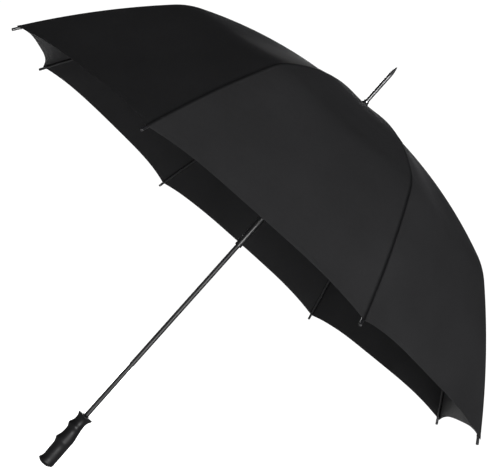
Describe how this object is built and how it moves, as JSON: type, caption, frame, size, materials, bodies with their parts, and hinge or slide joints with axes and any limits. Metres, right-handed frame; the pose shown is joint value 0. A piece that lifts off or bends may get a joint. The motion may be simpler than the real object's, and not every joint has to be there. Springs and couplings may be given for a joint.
{
  "type": "golf umbrella",
  "caption": "Open stick golf umbrella with a ribbed black canopy, stretchers on a sliding runner, a spike ferrule and a straight moulded grip.",
  "frame": {"origin": "middle of the hand grip, on the shaft's axis", "axes": "+Z along the shaft towards the ferrule; -X is the grip's finger side"},
  "size_m": [1.0978, 1.0978, 1.01],
  "materials": {
    "shaft": "gloss",
    "spike": "gloss",
    "spike_tip": "satin",
    "hub_plastic": "satin",
    "runner_plastic": "satin",
    "steel_wire": "satin",
    "spring_steel": "satin",
    "grip": "satin",
    "grip_cap": "satin",
    "strap_cloth": "matte",
    "snap_metal": "polished",
    "rib_fibreglass": "gloss",
    "stretcher_fibreglass": "gloss",
    "canopy_cloth": "matte"
  },
  "bodies": {
    "shaft": {"shaft_tube": "shaft", "ferrule_spike": "spike", "ferrule_tip": "spike_tip", "crown_cap": "hub_plastic", "top_notch": "hub_plastic", "notch_pin": "steel_wire", "notch_ring": "steel_wire", "handle_grip": "grip", "handle_end_cap": "grip_cap"},
    "runner": {"runner": "runner_plastic", "runner_ring": "steel_wire"},
    "top_catch": {"top_catch": "spring_steel"},
    "bottom_catch": {"bottom_catch": "spring_steel"},
    "rib_1": {"rib_inner_1": "rib_fibreglass", "canopy_inner_1": "canopy_cloth"},
    "rib_end_1": {"rib_outer_1": "rib_fibreglass", "canopy_outer_1": "canopy_cloth"},
    "stretcher_1": {"stretcher_1": "stretcher_fibreglass"},
    "rib_2": {"rib_inner_2": "rib_fibreglass", "canopy_inner_2": "canopy_cloth"},
    "rib_end_2": {"rib_outer_2": "rib_fibreglass", "canopy_outer_2": "canopy_cloth"},
    "stretcher_2": {"stretcher_2": "stretcher_fibreglass"},
    "rib_3": {"rib_inner_3": "rib_fibreglass", "canopy_inner_3": "canopy_cloth"},
    "rib_end_3": {"rib_outer_3": "rib_fibreglass", "canopy_outer_3": "canopy_cloth", "tie_strap": "strap_cloth", "strap_snap": "snap_metal"},
    "stretcher_3": {"stretcher_3": "stretcher_fibreglass"},
    "rib_4": {"rib_inner_4": "rib_fibreglass", "canopy_inner_4": "canopy_cloth"},
    "rib_end_4": {"rib_outer_4": "rib_fibreglass", "canopy_outer_4": "canopy_cloth"},
    "stretcher_4": {"stretcher_4": "stretcher_fibreglass"},
    "rib_5": {"rib_inner_5": "rib_fibreglass", "canopy_inner_5": "canopy_cloth"},
    "rib_end_5": {"rib_outer_5": "rib_fibreglass", "canopy_outer_5": "canopy_cloth"},
    "stretcher_5": {"stretcher_5": "stretcher_fibreglass"},
    "rib_6": {"rib_inner_6": "rib_fibreglass", "canopy_inner_6": "canopy_cloth"},
    "rib_end_6": {"rib_outer_6": "rib_fibreglass", "canopy_outer_6": "canopy_cloth"},
    "stretcher_6": {"stretcher_6": "stretcher_fibreglass"},
    "rib_7": {"rib_inner_7": "rib_fibreglass", "canopy_inner_7": "canopy_cloth"},
    "rib_end_7": {"rib_outer_7": "rib_fibreglass", "canopy_outer_7": "canopy_cloth"},
    "stretcher_7": {"stretcher_7": "stretcher_fibreglass"},
    "rib_8": {"rib_inner_8": "rib_fibreglass", "canopy_inner_8": "canopy_cloth"},
    "rib_end_8": {"rib_outer_8": "rib_fibreglass", "canopy_outer_8": "canopy_cloth"},
    "stretcher_8": {"stretcher_8": "stretcher_fibreglass"}
  },
  "joints": [
    {"name": "runner_slide", "type": "slide", "parent": "shaft", "child": "runner", "axis": [0, 0, 1], "range_m": [-0.36439, 0], "deforming": ["canopy_inner_1", "canopy_inner_2", "canopy_inner_3", "canopy_inner_4", "canopy_inner_5", "canopy_inner_6", "canopy_inner_7", "canopy_inner_8", "canopy_outer_1", "canopy_outer_2", "canopy_outer_3", "canopy_outer_4", "canopy_outer_5", "canopy_outer_6", "canopy_outer_7", "canopy_outer_8"]},
    {"name": "top_catch_press", "type": "slide", "parent": "shaft", "child": "top_catch", "axis": [0.3827, -0.9239, 0], "range_m": [0, 0.0018], "stiffness_N_per_m": 150, "springref_m": -0.002},
    {"name": "bottom_catch_press", "type": "slide", "parent": "shaft", "child": "bottom_catch", "axis": [0.3827, -0.9239, 0], "range_m": [0, 0.0018], "stiffness_N_per_m": 150, "springref_m": -0.002},
    {"name": "rib_1_hinge", "type": "hinge", "parent": "shaft", "child": "rib_1", "pos_m": [0.00878, 0.00364, 0.84435], "axis": [-0.3827, 0.9239, 0], "range_deg": [0, 76.99]},
    {"name": "rib_1_flex", "type": "hinge", "parent": "rib_1", "child": "rib_end_1", "pos_m": [0.28101, 0.1164, 0.78191], "axis": [-0.3827, 0.9239, 0], "range_deg": [-31.89, 0]},
    {"name": "stretcher_1_hinge", "type": "hinge", "parent": "rib_1", "child": "stretcher_1", "pos_m": [0.26908, 0.11146, 0.77981], "axis": [-0.3827, 0.9239, 0], "range_deg": [-129.7, 0]},
    {"name": "rib_2_hinge", "type": "hinge", "parent": "shaft", "child": "rib_2", "pos_m": [0.00364, 0.00878, 0.84435], "axis": [-0.9239, 0.3827, 0], "range_deg": [0, 76.99]},
    {"name": "rib_2_flex", "type": "hinge", "parent": "rib_2", "child": "rib_end_2", "pos_m": [0.1164, 0.28101, 0.78191], "axis": [-0.9239, 0.3827, 0], "range_deg": [-31.89, 0]},
    {"name": "stretcher_2_hinge", "type": "hinge", "parent": "rib_2", "child": "stretcher_2", "pos_m": [0.11146, 0.26908, 0.77981], "axis": [-0.9239, 0.3827, 0], "range_deg": [-129.7, 0]},
    {"name": "rib_3_hinge", "type": "hinge", "parent": "shaft", "child": "rib_3", "pos_m": [-0.00364, 0.00878, 0.84435], "axis": [-0.9239, -0.3827, 0], "range_deg": [0, 76.99]},
    {"name": "rib_3_flex", "type": "hinge", "parent": "rib_3", "child": "rib_end_3", "pos_m": [-0.1164, 0.28101, 0.78191], "axis": [-0.9239, -0.3827, 0], "range_deg": [-31.89, 0]},
    {"name": "stretcher_3_hinge", "type": "hinge", "parent": "rib_3", "child": "stretcher_3", "pos_m": [-0.11146, 0.26908, 0.77981], "axis": [-0.9239, -0.3827, 0], "range_deg": [-129.7, 0]},
    {"name": "rib_4_hinge", "type": "hinge", "parent": "shaft", "child": "rib_4", "pos_m": [-0.00878, 0.00364, 0.84435], "axis": [-0.3827, -0.9239, 0], "range_deg": [0, 76.99]},
    {"name": "rib_4_flex", "type": "hinge", "parent": "rib_4", "child": "rib_end_4", "pos_m": [-0.28101, 0.1164, 0.78191], "axis": [-0.3827, -0.9239, 0], "range_deg": [-31.89, 0]},
    {"name": "stretcher_4_hinge", "type": "hinge", "parent": "rib_4", "child": "stretcher_4", "pos_m": [-0.26908, 0.11146, 0.77981], "axis": [-0.3827, -0.9239, 0], "range_deg": [-129.7, 0]},
    {"name": "rib_5_hinge", "type": "hinge", "parent": "shaft", "child": "rib_5", "pos_m": [-0.00878, -0.00364, 0.84435], "axis": [0.3827, -0.9239, 0], "range_deg": [0, 76.99]},
    {"name": "rib_5_flex", "type": "hinge", "parent": "rib_5", "child": "rib_end_5", "pos_m": [-0.28101, -0.1164, 0.78191], "axis": [0.3827, -0.9239, 0], "range_deg": [-31.89, 0]},
    {"name": "stretcher_5_hinge", "type": "hinge", "parent": "rib_5", "child": "stretcher_5", "pos_m": [-0.26908, -0.11146, 0.77981], "axis": [0.3827, -0.9239, 0], "range_deg": [-129.7, 0]},
    {"name": "rib_6_hinge", "type": "hinge", "parent": "shaft", "child": "rib_6", "pos_m": [-0.00364, -0.00878, 0.84435], "axis": [0.9239, -0.3827, 0], "range_deg": [0, 76.99]},
    {"name": "rib_6_flex", "type": "hinge", "parent": "rib_6", "child": "rib_end_6", "pos_m": [-0.1164, -0.28101, 0.78191], "axis": [0.9239, -0.3827, 0], "range_deg": [-31.89, 0]},
    {"name": "stretcher_6_hinge", "type": "hinge", "parent": "rib_6", "child": "stretcher_6", "pos_m": [-0.11146, -0.26908, 0.77981], "axis": [0.9239, -0.3827, 0], "range_deg": [-129.7, 0]},
    {"name": "rib_7_hinge", "type": "hinge", "parent": "shaft", "child": "rib_7", "pos_m": [0.00364, -0.00878, 0.84435], "axis": [0.9239, 0.3827, 0], "range_deg": [0, 76.99]},
    {"name": "rib_7_flex", "type": "hinge", "parent": "rib_7", "child": "rib_end_7", "pos_m": [0.1164, -0.28101, 0.78191], "axis": [0.9239, 0.3827, 0], "range_deg": [-31.89, 0]},
    {"name": "stretcher_7_hinge", "type": "hinge", "parent": "rib_7", "child": "stretcher_7", "pos_m": [0.11146, -0.26908, 0.77981], "axis": [0.9239, 0.3827, 0], "range_deg": [-129.7, 0]},
    {"name": "rib_8_hinge", "type": "hinge", "parent": "shaft", "child": "rib_8", "pos_m": [0.00878, -0.00364, 0.84435], "axis": [0.3827, 0.9239, 0], "range_deg": [0, 76.99]},
    {"name": "rib_8_flex", "type": "hinge", "parent": "rib_8", "child": "rib_end_8", "pos_m": [0.28101, -0.1164, 0.78191], "axis": [0.3827, 0.9239, 0], "range_deg": [-31.89, 0]},
    {"name": "stretcher_8_hinge", "type": "hinge", "parent": "rib_8", "child": "stretcher_8", "pos_m": [0.26908, -0.11146, 0.77981], "axis": [0.3827, 0.9239, 0], "range_deg": [-129.7, 0]}
  ],
  "couplings": [
    {"joint": "rib_1_hinge", "follows": "runner_slide", "rad_per_m": -3.6871},
    {"joint": "rib_1_flex", "follows": "runner_slide", "rad_per_m": 1.527},
    {"joint": "stretcher_1_hinge", "follows": "runner_slide", "rad_per_m": 6.2117},
    {"joint": "rib_2_hinge", "follows": "runner_slide", "rad_per_m": -3.6871},
    {"joint": "rib_2_flex", "follows": "runner_slide", "rad_per_m": 1.527},
    {"joint": "stretcher_2_hinge", "follows": "runner_slide", "rad_per_m": 6.2117},
    {"joint": "rib_3_hinge", "follows": "runner_slide", "rad_per_m": -3.6871},
    {"joint": "rib_3_flex", "follows": "runner_slide", "rad_per_m": 1.527},
    {"joint": "stretcher_3_hinge", "follows": "runner_slide", "rad_per_m": 6.2117},
    {"joint": "rib_4_hinge", "follows": "runner_slide", "rad_per_m": -3.6871},
    {"joint": "rib_4_flex", "follows": "runner_slide", "rad_per_m": 1.527},
    {"joint": "stretcher_4_hinge", "follows": "runner_slide", "rad_per_m": 6.2117},
    {"joint": "rib_5_hinge", "follows": "runner_slide", "rad_per_m": -3.6871},
    {"joint": "rib_5_flex", "follows": "runner_slide", "rad_per_m": 1.527},
    {"joint": "stretcher_5_hinge", "follows": "runner_slide", "rad_per_m": 6.2117},
    {"joint": "rib_6_hinge", "follows": "runner_slide", "rad_per_m": -3.6871},
    {"joint": "rib_6_flex", "follows": "runner_slide", "rad_per_m": 1.527},
    {"joint": "stretcher_6_hinge", "follows": "runner_slide", "rad_per_m": 6.2117},
    {"joint": "rib_7_hinge", "follows": "runner_slide", "rad_per_m": -3.6871},
    {"joint": "rib_7_flex", "follows": "runner_slide", "rad_per_m": 1.527},
    {"joint": "stretcher_7_hinge", "follows": "runner_slide", "rad_per_m": 6.2117},
    {"joint": "rib_8_hinge", "follows": "runner_slide", "rad_per_m": -3.6871},
    {"joint": "rib_8_flex", "follows": "runner_slide", "rad_per_m": 1.527},
    {"joint": "stretcher_8_hinge", "follows": "runner_slide", "rad_per_m": 6.2117}
  ]
}
